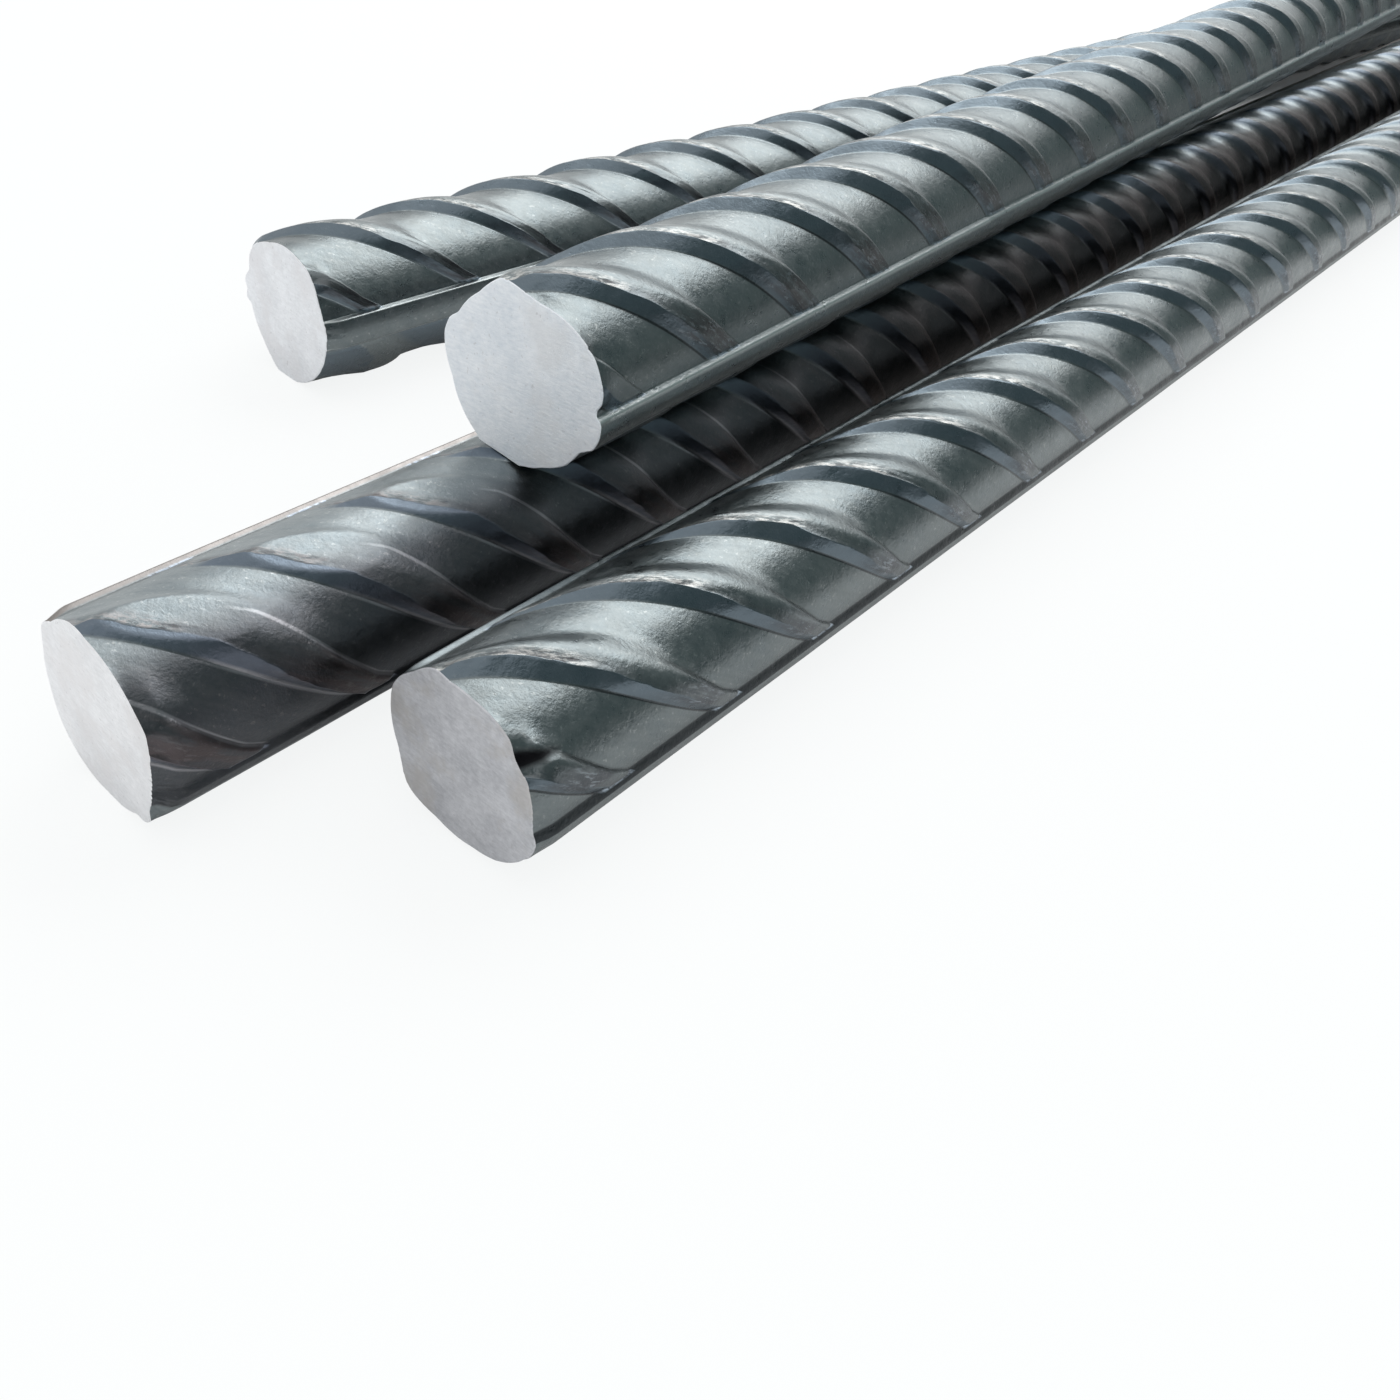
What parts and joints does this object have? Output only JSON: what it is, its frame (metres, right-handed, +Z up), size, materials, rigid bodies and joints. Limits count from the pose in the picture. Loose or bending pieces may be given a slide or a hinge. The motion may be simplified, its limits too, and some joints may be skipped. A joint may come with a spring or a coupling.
{
  "type": "rebar bundle",
  "caption": "Loose bundle of thick ribbed steel reinforcing bars lying on the ground, side by side with one laid across, cut off nearly square at the ends.",
  "frame": {"origin": "middle of the bundle's footprint (its bounding box), at floor level", "axes": "+X along the bars from the near ends to the far ends, +Y across the row on the floor from the front bar to the back bar, +Z up"},
  "size_m": [1.1072, 0.1674, 0.0623],
  "materials": {
    "mill_scale_steel": "hot-rolled mill scale, blue-grey, worn bright on the rib crests; light grey cut ends"
  },
  "bodies": {
    "root": {"bar_front": "mill_scale_steel", "bar_middle": "mill_scale_steel", "bar_back": "mill_scale_steel", "bar_top": "mill_scale_steel"}
  },
  "joints": []
}
